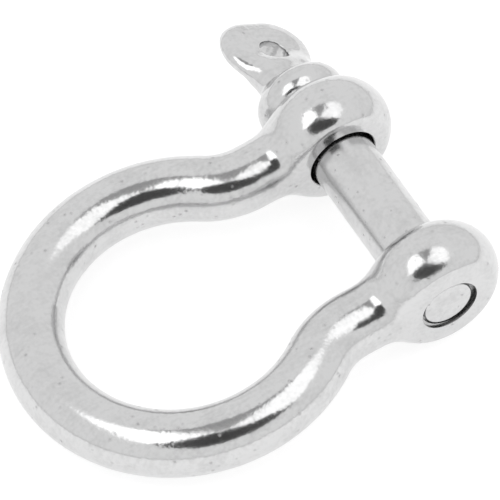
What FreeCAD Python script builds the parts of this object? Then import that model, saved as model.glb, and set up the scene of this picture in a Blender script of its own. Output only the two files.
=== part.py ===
"""Screw-pin bow shackle, forged stainless, with every size driven from one sheet.

Frame: the origin is on the pin's axis, midway between the ears. +X runs to the crown of the bow,
+Y along the pin towards its threaded end, +Z is square to the plane of the bow. Sizes are in mm.

The bow is one bar that widens from two straight legs into a round crown, with an ear forged at each
end and faced flat on both sides. The screw pin is a shank with a thread at one end, and at the other
a collar that stops against the ear and a flattened tab to turn it by.
"""
import FreeCAD, Part

import math
import os

import Sketcher

V = FreeCAD.Vector
NEAR = 1e-3
POINTS_ON_EDGE = 9
WHOLE_TURN = 360
THREAD_ANGLE = 60

# how a sketch numbers its own origin and axes, and the points of a line or an arc
ORIGIN = (-1, 1)
X_AXIS = -1
Y_AXIS = -2
START = 1
END = 2
CENTRE = 3

# the size that drives each way of dressing an edge
DRESSING_SIZE = {"Fillet": "Radius", "Chamfer": "Size"}

# where the plain shank stops and the thread starts
SHANK_END = "(Sizes.ear_centre - Sizes.ear_thickness / 2 - Sizes.thread_run_in)"

PARAMETERS = {
    # the bar and the line it is bent to
    "bar_diameter": 10.0,
    "ear_centre": 15.65,
    "crown_radius": 22.3,
    "crown_centre": 33.8,
    "shoulder_radius": 11.9,
    # the ears: round pills, blended to the bar, then faced on both sides
    "ear_core_radius": 4.2,
    "ear_rim_radius": 6.15,
    "ear_blend_radius": 4.0,
    "ear_thickness": 10.1,
    "facing_start": -11.0,
    "facing_reach": 13.0,
    "facing_depth": 2.0,
    "faced_edge_radius": 0.6,
    # the holes in the ears
    "clearance_hole_diameter": 11.0,
    "clearance_hole_chamfer": 0.15,
    "tapped_hole_chamfer": 0.4,
    # the thread: metric coarse, its ridges thinned for a free fit
    "thread_diameter": 10.0,
    "thread_pitch": 1.5,
    "thread_root_diameter": 8.16,
    "thread_bore_diameter": 8.38,
    "thread_flank_gap": 0.05,
    "thread_crest_gap": 0.05,
    "thread_run_in": 0.75,
    "groove_overshoot": 0.3,
    "groove_spare_turns": 3.0,
    # the pin
    "shank_diameter": 10.0,
    "pin_end_setback": 0.35,
    "point_length": 1.2,
    "point_diameter": 8.0,
    "point_edge_radius": 0.4,
    "point_gap": 0.01,
    "collar_diameter": 14.3,
    "collar_rim_radius": 3.15,
    "collar_seat_diameter": 11.5,
    # the tab the pin is turned by
    "tab_tilt": 33.8,
    "tab_thickness": 3.4,
    "tab_root_thickness": 7.0,
    "tab_root_width": 8.6,
    "tab_root_place": 23.5,
    "tab_rim_radius": 3.2,
    "tab_corner_radius": 6.1,
    "tab_corner_offset": 1.8,
    "tab_corner_place": 34.5,
    "tab_flat_radius": 10.0,
    "tab_flat_centre": 38.6,
    "tab_flat_blend": 1.3,
    "tab_edge_radius": 0.8,
    "tab_hole_diameter": 4.5,
    "tab_hole_place": 33.2,
    "tab_hole_edge_radius": 0.3,
}


def make_sheet(doc, values):
    """Put every driving size in a spreadsheet, one aliased cell each."""
    sheet = doc.addObject("Spreadsheet::Sheet", "Sizes")
    for row, (name, value) in enumerate(values.items(), start=1):
        sheet.set(f"A{row}", name)
        sheet.set(f"B{row}", str(value))
        sheet.setAlias(f"B{row}", name)
    doc.recompute()


def origin_plane(body, role):
    """One of the body's own origin planes."""
    return next(item for item in body.Origin.OriginFeatures if item.Role == role)


def new_body(doc, label):
    """An empty body of its own, for one separate piece."""
    body = doc.addObject("PartDesign::Body", label)
    body.Label = label
    return body


def new_sketch(body, name, role="XY_Plane"):
    """An empty sketch on one of the body's origin planes."""
    sketch = body.newObject("Sketcher::SketchObject", name)
    sketch.AttachmentSupport = [(origin_plane(body, role), "")]
    sketch.MapMode = "FlatFace"
    return sketch


def number(item, expression):
    """What an expression on the sheet comes to now."""
    return float(item.evalExpression(str(expression)))


def bind(item, prop, expression):
    """Drive a property from the sheet."""
    item.setExpression(prop, str(expression))


def relate(sketch, kind, *ends):
    """Add a constraint between parts of a sketch; returns its number."""
    return sketch.addConstraint(Sketcher.Constraint(kind, *ends))


def hold_point(sketch, geometry, point, x, y):
    """Hold one point of a sketch at (x, y), each an expression on the sheet."""
    for kind, axis, expression in (("DistanceX", Y_AXIS, x), ("DistanceY", X_AXIS, y)):
        if expression == "0":
            relate(sketch, "PointOnObject", geometry, point, axis)
        else:
            index = relate(sketch, kind, *ORIGIN, geometry, point, number(sketch, expression))
            bind(sketch, f"Constraints[{index}]", expression)


def hold_radius(sketch, geometry, expression):
    """Hold the radius of a circle or an arc."""
    index = relate(sketch, "Radius", geometry, number(sketch, expression))
    bind(sketch, f"Constraints[{index}]", expression)


def draw_circle(sketch, x, y, radius):
    """A circle about (x, y), all three expressions on the sheet."""
    centre = V(number(sketch, x), number(sketch, y), 0)
    geometry = sketch.addGeometry(Part.Circle(centre, V(0, 0, 1), number(sketch, radius)))
    hold_point(sketch, geometry, CENTRE, x, y)
    hold_radius(sketch, geometry, radius)


def draw_line(sketch, start, end):
    """A straight line between two points given in numbers."""
    return sketch.addGeometry(Part.LineSegment(start, end))


def draw_polygon(sketch, corners, closed=True):
    """Straight sides between corners given as expressions; returns the sides' numbers."""
    spots = [V(number(sketch, x), number(sketch, y), 0) for x, y in corners]
    count = len(corners) if closed else len(corners) - 1
    sides = []
    for index in range(count):
        end = spots[(index + 1) % len(spots)]
        sides.append(draw_line(sketch, spots[index], end))
        hold_point(sketch, sides[-1], START, *corners[index])
    for side, following in zip(sides, sides[1:]):
        relate(sketch, "Coincident", side, END, following, START)
    if closed:
        relate(sketch, "Coincident", sides[-1], END, sides[0], START)
    else:
        hold_point(sketch, sides[-1], END, *corners[-1])
    return sides


def draw_arc(sketch, centre, start, end):
    """An anticlockwise arc from start to end; the three are points in numbers."""
    radius = (start - centre).Length
    first = math.atan2(start.y - centre.y, start.x - centre.x)
    last = math.atan2(end.y - centre.y, end.x - centre.x)
    if last <= first:
        last += 2 * math.pi
    return sketch.addGeometry(Part.ArcOfCircle(Part.Circle(centre, V(0, 0, 1), radius), first, last))


def bow_line(sketch):
    """The bar's centreline: leg, shoulder, crown, shoulder, leg, all tangent."""
    ear = number(sketch, "Sizes.ear_centre")
    crown = number(sketch, "Sizes.crown_radius")
    shoulder = number(sketch, "Sizes.shoulder_radius")
    middle = V(number(sketch, "Sizes.crown_centre"), 0, 0)
    spread = crown + shoulder
    rise = ear + shoulder
    run = math.sqrt(spread ** 2 - rise ** 2)
    upper = middle + V(-run, rise, 0)
    lower = middle + V(-run, -rise, 0)
    upper_join = middle + V(-run, rise, 0) * (crown / spread)
    lower_join = middle + V(-run, -rise, 0) * (crown / spread)
    upper_leg = V(upper.x, ear, 0)
    lower_leg = V(lower.x, -ear, 0)

    leg_a = draw_line(sketch, V(0, ear, 0), upper_leg)
    shoulder_a = draw_arc(sketch, upper, upper_leg, upper_join)
    crown_arc = draw_arc(sketch, middle, lower_join, upper_join)
    shoulder_b = draw_arc(sketch, lower, lower_join, lower_leg)
    leg_b = draw_line(sketch, lower_leg, V(0, -ear, 0))

    relate(sketch, "Tangent", leg_a, END, shoulder_a, START)
    relate(sketch, "Tangent", shoulder_a, END, crown_arc, END)
    relate(sketch, "Tangent", crown_arc, START, shoulder_b, START)
    relate(sketch, "Tangent", shoulder_b, END, leg_b, START)
    relate(sketch, "Horizontal", leg_a)
    relate(sketch, "Horizontal", leg_b)
    relate(sketch, "Symmetric", leg_a, START, leg_b, END, X_AXIS)
    hold_point(sketch, leg_a, START, "0", "Sizes.ear_centre")
    hold_point(sketch, crown_arc, CENTRE, "Sizes.crown_centre", "0")
    hold_radius(sketch, crown_arc, "Sizes.crown_radius")
    hold_radius(sketch, shoulder_a, "Sizes.shoulder_radius")
    relate(sketch, "Equal", shoulder_a, shoulder_b)


def ear_pill(sketch, side):
    """Half of the round pill that an ear is forged as, before it is faced."""
    centre = f"{side} * Sizes.ear_centre"
    top = f"{side} * Sizes.ear_centre + Sizes.ear_rim_radius"
    bottom = f"{side} * Sizes.ear_centre - Sizes.ear_rim_radius"
    core = "Sizes.ear_core_radius"
    corners = [(core, bottom), ("0", bottom), ("0", top), (core, top)]
    sides = draw_polygon(sketch, corners, closed=False)
    middle = V(number(sketch, core), number(sketch, centre), 0)
    first = V(middle.x, number(sketch, bottom), 0)
    last = V(middle.x, number(sketch, top), 0)
    rim = draw_arc(sketch, middle, first, last)
    relate(sketch, "Coincident", sides[0], START, rim, START)
    relate(sketch, "Tangent", rim, END, sides[-1], END)


def revolve(body, name, sketch):
    """Turn a half profile round the Y axis."""
    turned = body.newObject("PartDesign::Revolution", name)
    turned.Profile = sketch
    turned.ReferenceAxis = (sketch, ["V_Axis"])
    turned.Angle = WHOLE_TURN


def edges_where(shape, test):
    """Names of the edges that pass a test at every point tried between their two ends."""
    names = []
    for index, edge in enumerate(shape.Edges, start=1):
        tried = edge.discretize(POINTS_ON_EDGE)[1:-1] if edge.Length > NEAR else []
        if tried and all(test(point) for point in tried):
            names.append(f"Edge{index}")
    return names


def dress_edges(doc, body, kind, name, test, size):
    """Fillet or chamfer the edges of the body's last feature that pass the test."""
    doc.recompute()
    base = body.Tip
    names = edges_where(base.Shape, test)
    if not names:
        raise RuntimeError(f"{name}: no edge passes")
    dressed = body.newObject(f"PartDesign::{kind}", name)
    dressed.Base = (base, names)
    bind(dressed, DRESSING_SIZE[kind], size)
    doc.recompute()


def cut_through(body, name, sketch):
    """Cut the sketch's outline right through the body, both ways from its plane."""
    pocket = body.newObject("PartDesign::Pocket", name)
    pocket.Profile = sketch
    pocket.Type = "ThroughAll"
    pocket.Midplane = True


def thread_groove(sketch, first_y, mouth, root, mouth_width, root_width, overshoot):
    """The section of a thread's groove, square past its mouth so that it cuts clear of the crest."""
    points = [(root, f"{first_y} - ({root_width}) / 2"),
              (mouth, f"{first_y} - ({mouth_width}) / 2"),
              (f"{mouth} + {overshoot}", f"{first_y} - ({mouth_width}) / 2"),
              (f"{mouth} + {overshoot}", f"{first_y} + ({mouth_width}) / 2"),
              (mouth, f"{first_y} + ({mouth_width}) / 2"),
              (root, f"{first_y} + ({root_width}) / 2")]
    draw_polygon(sketch, points)


def cut_thread(body, name, sketch, height):
    """Sweep a groove's section up a right-hand helix about +Y."""
    helix = body.newObject("PartDesign::SubtractiveHelix", name)
    helix.Profile = sketch
    helix.ReferenceAxis = (sketch, ["V_Axis"])
    helix.Mode = "pitch-height-angle"
    bind(helix, "Pitch", "Sizes.thread_pitch")
    bind(helix, "Height", height)


def ridge_width(radius):
    """Axial width of a metric thread's ridge at a radius: an eighth of the pitch at its crest."""
    depth = f"(Sizes.thread_diameter / 2 - ({radius}))"
    return f"(Sizes.thread_pitch / 8 + 2 * tan({THREAD_ANGLE / 2}) * {depth})"


def bore_ear(body, name, side, diameter):
    """Drill the ear on one side, from the middle of the jaw outwards."""
    sketch = new_sketch(body, f"{name}_circle", "XZ_Plane")
    draw_circle(sketch, "0", "0", f"{diameter} / 2")
    bore = body.newObject("PartDesign::Pocket", name)
    bore.Profile = sketch
    bore.Type = "Length"
    bind(bore, "Length", "2 * Sizes.ear_centre")
    bore.Reversed = side < 0


def build_bow(doc):
    """The bow: a bent bar with a faced, drilled ear at each end."""
    body = new_body(doc, "bow")
    path = new_sketch(body, "bow_line")
    bow_line(path)
    section = new_sketch(body, "bar_section", "YZ_Plane")
    draw_circle(section, "Sizes.ear_centre", "0", "Sizes.bar_diameter / 2")
    bar = body.newObject("PartDesign::AdditivePipe", "bar")
    bar.Profile = section
    bar.Spine = (path, [""])

    for name, side in (("tapped", 1), ("plain", -1)):
        pill = new_sketch(body, f"{name}_ear_profile")
        ear_pill(pill, side)
        revolve(body, f"{name}_ear", pill)

    ear = PARAMETERS["ear_centre"]
    bar_radius = PARAMETERS["bar_diameter"] / 2

    def where_bar_meets_ear(point):
        off_axis = math.hypot(abs(point.y) - ear, point.z)
        return abs(off_axis - bar_radius) < NEAR and 0 < point.x < 2 * bar_radius

    dress_edges(doc, body, "Fillet", "ear_blends", where_bar_meets_ear, "Sizes.ear_blend_radius")

    facing = new_sketch(body, "facing_outlines")
    half = "Sizes.ear_thickness / 2"
    for side in (1, -1):
        for face in (1, -1):
            near = f"{side} * Sizes.ear_centre + {face} * {half}"
            far = f"{near} + {face} * Sizes.facing_depth"
            draw_polygon(facing, [("Sizes.facing_start", near), ("Sizes.facing_reach", near),
                                  ("Sizes.facing_reach", far), ("Sizes.facing_start", far)])
    cut_through(body, "ear_faces", facing)

    faces = [ear + side * PARAMETERS["ear_thickness"] / 2 for side in (1, -1)]

    def on_faced_rim(point):
        return any(abs(abs(point.y) - face) < NEAR for face in faces)

    dress_edges(doc, body, "Fillet", "faced_edges", on_faced_rim, "Sizes.faced_edge_radius")

    for name, side, bore in (("tapped", 1, "thread_bore_diameter"),
                             ("clearance", -1, "clearance_hole_diameter")):
        bore_ear(body, f"{name}_hole", side, f"Sizes.{bore}")
        radius = PARAMETERS[bore] / 2

        def on_hole_mouth(point):
            off_axis = math.hypot(point.x, point.z)
            return abs(off_axis - radius) < NEAR and on_faced_rim(point) and point.y * side > 0

        dress_edges(doc, body, "Chamfer", f"{name}_mouths", on_hole_mouth, f"Sizes.{name}_hole_chamfer")

    groove = new_sketch(body, "female_groove")
    crest = "Sizes.thread_diameter / 2"
    mouth = "Sizes.thread_bore_diameter / 2"
    first = f"({SHANK_END} - Sizes.thread_pitch)"
    overshoot = "-Sizes.groove_overshoot"
    thread_groove(groove, first, mouth, crest, ridge_width(mouth), ridge_width(crest), overshoot)
    length = "Sizes.ear_thickness + Sizes.groove_spare_turns * Sizes.thread_pitch"
    cut_thread(body, "female_thread", groove, length)
    return body


def pin_profile(sketch):
    """Half profile of the turned part of the pin: collar, shank, threaded end."""
    seat = "(Sizes.ear_centre + Sizes.ear_thickness / 2)"
    end = f"({seat} - Sizes.pin_end_setback - Sizes.point_length - Sizes.point_gap)"
    core = "(Sizes.collar_diameter / 2 - Sizes.collar_rim_radius)"
    overlap = f"(Sizes.collar_seat_diameter / 2 - {core})"
    rise = f"sqrt(Sizes.collar_rim_radius ^ 2 - {overlap} ^ 2)"
    back = f"-({seat} + {rise} + Sizes.collar_rim_radius)"
    crest = "(Sizes.thread_diameter / 2 - Sizes.thread_crest_gap)"
    point = "(Sizes.point_diameter / 2)"
    corners = [("Sizes.collar_seat_diameter / 2", f"-{seat}"),
               ("Sizes.shank_diameter / 2", f"-{seat}"),
               ("Sizes.shank_diameter / 2", SHANK_END),
               (crest, SHANK_END),
               (crest, f"{end} - ({crest} - {point})"),
               (point, end),
               ("0", end),
               ("0", back),
               (core, back)]
    sides = draw_polygon(sketch, corners, closed=False)
    middle = V(number(sketch, core), number(sketch, f"-({seat} + {rise})"), 0)
    first = V(number(sketch, core), number(sketch, back), 0)
    last = V(number(sketch, corners[0][0]), number(sketch, corners[0][1]), 0)
    rim = draw_arc(sketch, middle, first, last)
    relate(sketch, "Coincident", sides[0], START, rim, END)
    relate(sketch, "Tangent", sides[-1], END, rim, START)


def tilt(sketch, lift="0"):
    """Turn a sketch about the pin's axis into the tab's own plane, lifted off its middle."""
    sketch.AttachmentOffset = FreeCAD.Placement(V(0, 0, 0), FreeCAD.Rotation(V(0, -1, 0), 1))
    bind(sketch, "AttachmentOffset.Rotation.Angle", "Sizes.tab_tilt")
    bind(sketch, "AttachmentOffset.Base.x", f"-sin(Sizes.tab_tilt) * ({lift})")
    bind(sketch, "AttachmentOffset.Base.z", f"cos(Sizes.tab_tilt) * ({lift})")


def tab_outline(sketch):
    """The tab seen square on: a blunt rounded end, straight sides tapering to its root."""
    radius = number(sketch, "Sizes.tab_corner_radius")
    offset = number(sketch, "Sizes.tab_corner_offset")
    place = -number(sketch, "Sizes.tab_corner_place")
    half_root = number(sketch, "Sizes.tab_root_width / 2")
    root = -number(sketch, "Sizes.tab_root_place")
    right = V(offset, place, 0)
    left = V(-offset, place, 0)
    reach = V(half_root, root, 0) - right
    bearing = math.atan2(reach.y, reach.x) - math.acos(radius / reach.Length)
    touch = V(math.cos(bearing), math.sin(bearing), 0) * radius
    right_touch = right + touch
    left_touch = left + V(-touch.x, touch.y, 0)
    foot = V(0, -radius, 0)

    left_root = V(-half_root, root, 0)
    right_root = V(half_root, root, 0)

    side_a = draw_line(sketch, left_root, left_touch)
    corner_a = draw_arc(sketch, left, left_touch, left + foot)
    end = draw_line(sketch, left + foot, right + foot)
    corner_b = draw_arc(sketch, right, right + foot, right_touch)
    side_b = draw_line(sketch, right_touch, right_root)
    base = draw_line(sketch, right_root, left_root)

    rounds = (side_a, corner_a, end, corner_b, side_b)
    for line, following in zip(rounds, rounds[1:]):
        relate(sketch, "Tangent", line, END, following, START)
    relate(sketch, "Coincident", side_b, END, base, START)
    relate(sketch, "Coincident", base, END, side_a, START)
    hold_point(sketch, side_a, START, "-Sizes.tab_root_width / 2", "-Sizes.tab_root_place")
    hold_point(sketch, side_b, END, "Sizes.tab_root_width / 2", "-Sizes.tab_root_place")
    hold_point(sketch, corner_a, CENTRE, "-Sizes.tab_corner_offset", "-Sizes.tab_corner_place")
    hold_point(sketch, corner_b, CENTRE, "Sizes.tab_corner_offset", "-Sizes.tab_corner_place")
    hold_radius(sketch, corner_a, "Sizes.tab_corner_radius")
    hold_radius(sketch, corner_b, "Sizes.tab_corner_radius")


def in_tab_frame(point):
    """A point's places across the tab, along the pin, and off the tab's middle plane."""
    angle = math.radians(PARAMETERS["tab_tilt"])
    across = point.x * math.cos(angle) + point.z * math.sin(angle)
    off_plane = -point.x * math.sin(angle) + point.z * math.cos(angle)
    return across, point.y, off_plane


def build_screw_pin(doc):
    """The screw pin: a flattened tab on a turned collar, shank and thread."""
    body = new_body(doc, "screw_pin")
    outline = new_sketch(body, "tab_outline")
    tilt(outline)
    tab_outline(outline)
    tab = body.newObject("PartDesign::Pad", "tab")
    tab.Profile = outline
    tab.Midplane = True
    bind(tab, "Length", "Sizes.tab_root_thickness")
    half_root = PARAMETERS["tab_root_thickness"] / 2
    root_place = -PARAMETERS["tab_root_place"]

    def on_tab_rim(point):
        off_plane = in_tab_frame(point)[2]
        return abs(abs(off_plane) - half_root) < NEAR and point.y < root_place - NEAR

    dress_edges(doc, body, "Fillet", "tab_rim", on_tab_rim, "Sizes.tab_rim_radius")

    for name, side in (("upper", 1), ("lower", -1)):
        flat = new_sketch(body, f"{name}_flat_circle")
        tilt(flat, f"{side} * Sizes.tab_thickness / 2")
        draw_circle(flat, "0", "-Sizes.tab_flat_centre", "Sizes.tab_flat_radius")
        pocket = body.newObject("PartDesign::Pocket", f"{name}_flat")
        pocket.Profile = flat
        pocket.Type = "Length"
        pocket.Reversed = side > 0
        bind(pocket, "Length", "Sizes.tab_root_thickness")

    half_tab = PARAMETERS["tab_thickness"] / 2
    flat_centre = PARAMETERS["tab_flat_centre"]
    flat_radius = PARAMETERS["tab_flat_radius"]

    def on_flat(point):
        return abs(abs(in_tab_frame(point)[2]) - half_tab) < NEAR

    def on_flat_root(point):
        across, along, _ = in_tab_frame(point)
        return on_flat(point) and abs(math.hypot(across, along + flat_centre) - flat_radius) < NEAR

    def on_flat_edge(point):
        return on_flat(point) and not on_flat_root(point)

    dress_edges(doc, body, "Fillet", "flat_roots", on_flat_root, "Sizes.tab_flat_blend")
    dress_edges(doc, body, "Fillet", "flat_edges", on_flat_edge, "Sizes.tab_edge_radius")

    profile = new_sketch(body, "turned_profile")
    pin_profile(profile)
    revolve(body, "turned_pin", profile)

    eye = new_sketch(body, "tab_hole_circle")
    tilt(eye)
    draw_circle(eye, "0", "-Sizes.tab_hole_place", "Sizes.tab_hole_diameter / 2")
    cut_through(body, "tab_hole", eye)
    hole_radius = PARAMETERS["tab_hole_diameter"] / 2
    hole_place = PARAMETERS["tab_hole_place"]

    def on_eye_mouth(point):
        across, along, _ = in_tab_frame(point)
        return on_flat(point) and abs(math.hypot(across, along + hole_place) - hole_radius) < NEAR

    dress_edges(doc, body, "Fillet", "hole_mouths", on_eye_mouth, "Sizes.tab_hole_edge_radius")

    groove = new_sketch(body, "male_groove")
    crest = "Sizes.thread_diameter / 2"
    root = "Sizes.thread_root_diameter / 2"
    spare = "Sizes.thread_pitch + 2 * Sizes.thread_flank_gap"
    first = f"({SHANK_END} - Sizes.thread_pitch / 2)"
    mouth_width = f"{spare} - {ridge_width(crest)}"
    root_width = f"{spare} - {ridge_width(root)}"
    thread_groove(groove, first, crest, root, mouth_width, root_width, "Sizes.groove_overshoot")
    length = "Sizes.ear_thickness + Sizes.thread_run_in + Sizes.thread_pitch"
    cut_thread(body, "male_thread", groove, length)
    return body


def build_pin_tip(doc):
    """The plain point that leads the pin's thread into the tapped ear."""
    body = new_body(doc, "pin_tip")
    profile = new_sketch(body, "point_profile")
    end = "(Sizes.ear_centre + Sizes.ear_thickness / 2 - Sizes.pin_end_setback)"
    start = f"({end} - Sizes.point_length)"
    radius = "Sizes.point_diameter / 2"
    draw_polygon(profile, [("0", start), (radius, start), (radius, end), ("0", end)])
    revolve(body, "turned_point", profile)
    face = number(profile, end)

    def on_end_face(point):
        return abs(point.y - face) < NEAR

    dress_edges(doc, body, "Fillet", "point_edge", on_end_face, "Sizes.point_edge_radius")
    return body


def check(doc, bodies):
    """Stop on any feature that failed to build, and on any solid that isn't whole."""
    for item in doc.Objects:
        if "Invalid" in item.State or "Error" in item.State:
            raise RuntimeError(f"{item.Name} did not build: {item.State}")
    for body in bodies:
        shape = body.Shape
        if shape.isNull() or not shape.isValid() or len(shape.Solids) != 1:
            raise RuntimeError(f"{body.Label} is not one sound solid")
        box = shape.BoundBox
        low = f"({box.XMin:.2f}, {box.YMin:.2f}, {box.ZMin:.2f})"
        high = f"({box.XMax:.2f}, {box.YMax:.2f}, {box.ZMax:.2f})"
        print(f"{body.Label}: {shape.Volume:.1f} mm3, {len(shape.Faces)} faces, {low} to {high}")


def main():
    """Build the pieces, check them and write one file each."""
    doc = FreeCAD.newDocument("bow_shackle")
    make_sheet(doc, PARAMETERS)
    bodies = [build_bow(doc), build_screw_pin(doc), build_pin_tip(doc)]
    doc.recompute()
    check(doc, bodies)
    os.makedirs("parts", exist_ok=True)
    for body in bodies:
        body.Shape.exportStep(f"parts/{body.Label}.step")


main()
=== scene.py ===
# %% [markdown]
# # A bow shackle in polished stainless steel
# A bow shackle joins ropes and chain on a boat. It has two pieces. The bow is a round bar, forged into a
# wide loop with an eye at each end. The screw pin goes through one eye and screws into the other.
# Both come from a packed engineering model, so every size below is a length in that model, in metres,
# and every place is measured from the one shared frame: the pin lies along Y and the loop reaches to +X.

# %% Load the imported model
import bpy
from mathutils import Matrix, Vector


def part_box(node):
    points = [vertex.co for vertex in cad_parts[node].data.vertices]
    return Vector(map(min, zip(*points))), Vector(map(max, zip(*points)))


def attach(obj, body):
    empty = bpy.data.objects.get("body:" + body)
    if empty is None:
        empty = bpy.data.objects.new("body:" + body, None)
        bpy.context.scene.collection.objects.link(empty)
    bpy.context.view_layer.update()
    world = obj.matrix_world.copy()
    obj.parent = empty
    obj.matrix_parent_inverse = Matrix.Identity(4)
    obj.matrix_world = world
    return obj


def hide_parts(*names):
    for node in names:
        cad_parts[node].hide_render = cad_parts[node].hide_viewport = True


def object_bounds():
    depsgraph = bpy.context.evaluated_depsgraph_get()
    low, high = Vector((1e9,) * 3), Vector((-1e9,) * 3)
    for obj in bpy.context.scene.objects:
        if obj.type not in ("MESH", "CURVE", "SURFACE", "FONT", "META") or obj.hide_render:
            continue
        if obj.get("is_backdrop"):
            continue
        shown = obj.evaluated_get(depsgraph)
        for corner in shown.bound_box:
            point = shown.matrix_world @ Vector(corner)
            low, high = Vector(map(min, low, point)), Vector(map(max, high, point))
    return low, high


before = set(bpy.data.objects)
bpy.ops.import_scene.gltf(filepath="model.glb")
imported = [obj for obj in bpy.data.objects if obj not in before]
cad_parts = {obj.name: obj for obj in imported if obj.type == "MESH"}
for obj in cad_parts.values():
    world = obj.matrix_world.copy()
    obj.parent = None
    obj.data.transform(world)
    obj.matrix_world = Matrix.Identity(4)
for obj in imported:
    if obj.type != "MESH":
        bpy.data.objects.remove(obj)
cad_box = [list(corner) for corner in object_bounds()]

import math
import bmesh
import bpy
from mathutils import Quaternion, Vector

MM = 0.001
print("box in mm", [[round(value / MM, 2) for value in corner] for corner in cad_box])

# %% [markdown]
# ## Sizes
# The eyes and the bar have a few driving dimensions. Some can be read from the frame, such as the reach of
# the pin, and the rest are the maker's numbers for a 10 mm shackle. Naming them once keeps the
# distance formulas further down short.

# %% Driving dimensions of the bow and the pin
(BOW_LOW, BOW_HIGH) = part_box("bow")
PIN_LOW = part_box("screw_pin")[0]
(POINT_LOW, POINT_HIGH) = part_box("pin_tip")

BAR_RADIUS = 5.0 * MM
EAR_CENTRE = 15.65 * MM
EAR_CORE = 4.2 * MM
EAR_RIM = 6.15 * MM
EAR_HALF_THICKNESS = 5.05 * MM
CROWN_RADIUS = 22.3 * MM
CROWN_CENTRE = 33.8 * MM
SHOULDER_RADIUS = 11.9 * MM
SHANK_RADIUS = 5.0 * MM
SHANK_END = 9.85 * MM
EAR_INNER = EAR_CENTRE - EAR_HALF_THICKNESS
EAR_OUTER = EAR_CENTRE + EAR_HALF_THICKNESS
print("eyes from", round(EAR_INNER / MM, 2), "to", round(EAR_OUTER / MM, 2), "mm each side")

# %% [markdown]
# ## Formulas as nodes
# A forging has no sharp seams: the bar melts into each eye. The easiest way to describe such a shape is by
# a distance rule, a formula that says how far any point is from the surface. Geometry Nodes can
# work the formula out all over a block of space and wrap a mesh round the places where it is zero.
# Long formulas are hard to read as nodes. Two helpers add a node and feed its inputs, and a small class
# lets a formula be written as a plain sum: each operator adds one Math node and hands back its output.

# %% Add a node and feed it
def feed(tree, slot, value):
    """Give a node's input a field or another node's output by a link, or else a plain value."""
    if isinstance(value, Field):
        value = value.socket
    if isinstance(value, bpy.types.NodeSocket):
        tree.links.new(value, slot)
    else:
        slot.default_value = value


def add_node(tree, kind, inputs=None, **settings):
    """Add a node, choose its settings, then feed the inputs that are named or numbered."""
    node = tree.nodes.new(kind)
    for name, value in settings.items():
        setattr(node, name, value)
    for name, value in (inputs or {}).items():
        feed(tree, node.inputs[name], value)
    return node


# %% A number that is really a node socket
class Field:
    """A value in a node tree. Sums and products of fields add Math nodes."""

    def __init__(self, tree, socket):
        self.tree = tree
        self.socket = socket

    def combine(self, operation, *others):
        inputs = dict(enumerate((self, *others)))
        node = add_node(self.tree, "ShaderNodeMath", inputs, operation=operation)
        return Field(self.tree, node.outputs[0])

    def __add__(self, other):
        return self.combine("ADD", other)

    def __sub__(self, other):
        return self.combine("SUBTRACT", other)

    def __mul__(self, other):
        return self.combine("MULTIPLY", other)

    def __truediv__(self, other):
        return self.combine("DIVIDE", other)

    def __neg__(self):
        return self * -1.0

    def __abs__(self):
        return self.combine("ABSOLUTE")


print("a Math node for each of + - * / and abs")

# %% [markdown]
# Shapes are put together by taking the smaller or the larger of two distances. The smaller is both shapes
# joined, the larger is what they share, and the smooth versions of the two leave a fillet between them.

# %% Joining and trimming
def most(first, second):
    """The larger of two values."""
    return first.combine("MAXIMUM", second)


def least(first, second):
    """The smaller of two values."""
    return first.combine("MINIMUM", second)


def length(first, second):
    """The long side of a right-angled triangle. Both short sides are fields."""
    return (first * first + second * second).combine("SQRT")


def melt(first, second, reach):
    """The union of two shapes, with a fillet of about this reach in the corner between them."""
    return first.combine("SMOOTH_MIN", second, reach)


def trim(first, second, reach):
    """What two shapes have in common, with the edge between them rounded."""
    return first.combine("SMOOTH_MAX", second, reach)


def ramp(value, start, end):
    """0 before start, 1 after end, straight between."""
    rise = (value - start) / (end - start)
    return least(most(rise, 0.0), 1.0)


def vector_of(tree, *values):
    """Three fields or numbers joined into one vector."""
    return add_node(tree, "ShaderNodeCombineXYZ", dict(enumerate(values))).outputs[0]


def axes_of(tree, vector):
    """The X, Y and Z of a vector, as three fields."""
    split = add_node(tree, "ShaderNodeSeparateXYZ", {0: vector})
    return [Field(tree, socket) for socket in split.outputs]


def noise_field(tree, vector, scale, detail):
    """Smooth noise, between 0 and 1, read at a vector."""
    look = {"Vector": vector, "Scale": scale, "Detail": detail}
    return Field(tree, add_node(tree, "ShaderNodeTexNoise", look).outputs["Fac"])


print("formulas ready")

# %% [markdown]
# ## From a tree to a piece
# A tree is run by a modifier on an object whose mesh is empty. Its inputs are set by their identifiers,
# then the result is kept as a plain mesh and the modifier goes, so the finished piece holds nothing but
# its own faces.

# %% New pieces and plain meshes
def new_piece(name):
    """An object with an empty mesh of its own, in the scene."""
    piece = bpy.data.objects.new(name, bpy.data.meshes.new(name))
    bpy.context.scene.collection.objects.link(piece)
    return piece


def plain_mesh(piece):
    """Turn a piece's evaluated shape into its own plain mesh and drop its modifiers."""
    graph = bpy.context.evaluated_depsgraph_get()
    mesh = bpy.data.meshes.new_from_object(piece.evaluated_get(graph))
    mesh.name = piece.name
    piece.modifiers.clear()
    piece.data = mesh
    return piece


def report(piece):
    """Print how fine a piece's mesh is, and its box in millimetres."""
    mesh = piece.data
    corners = [vertex.co for vertex in mesh.vertices]
    low = [round(min(c[axis] for c in corners) / MM, 2) for axis in range(3)]
    high = [round(max(c[axis] for c in corners) / MM, 2) for axis in range(3)]
    print(piece.name, "vertices", len(mesh.vertices), "faces", len(mesh.polygons), low, high)


print("pieces start in", bpy.context.scene.collection.name)

# %% Start, run and finish a tree
def add_input(tree, name, kind, value=None):
    """A named input of a tree or group, with its starting value where it has one."""
    socket = tree.interface.new_socket(name, in_out="INPUT", socket_type=kind)
    if value is not None:
        socket.default_value = value


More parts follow.
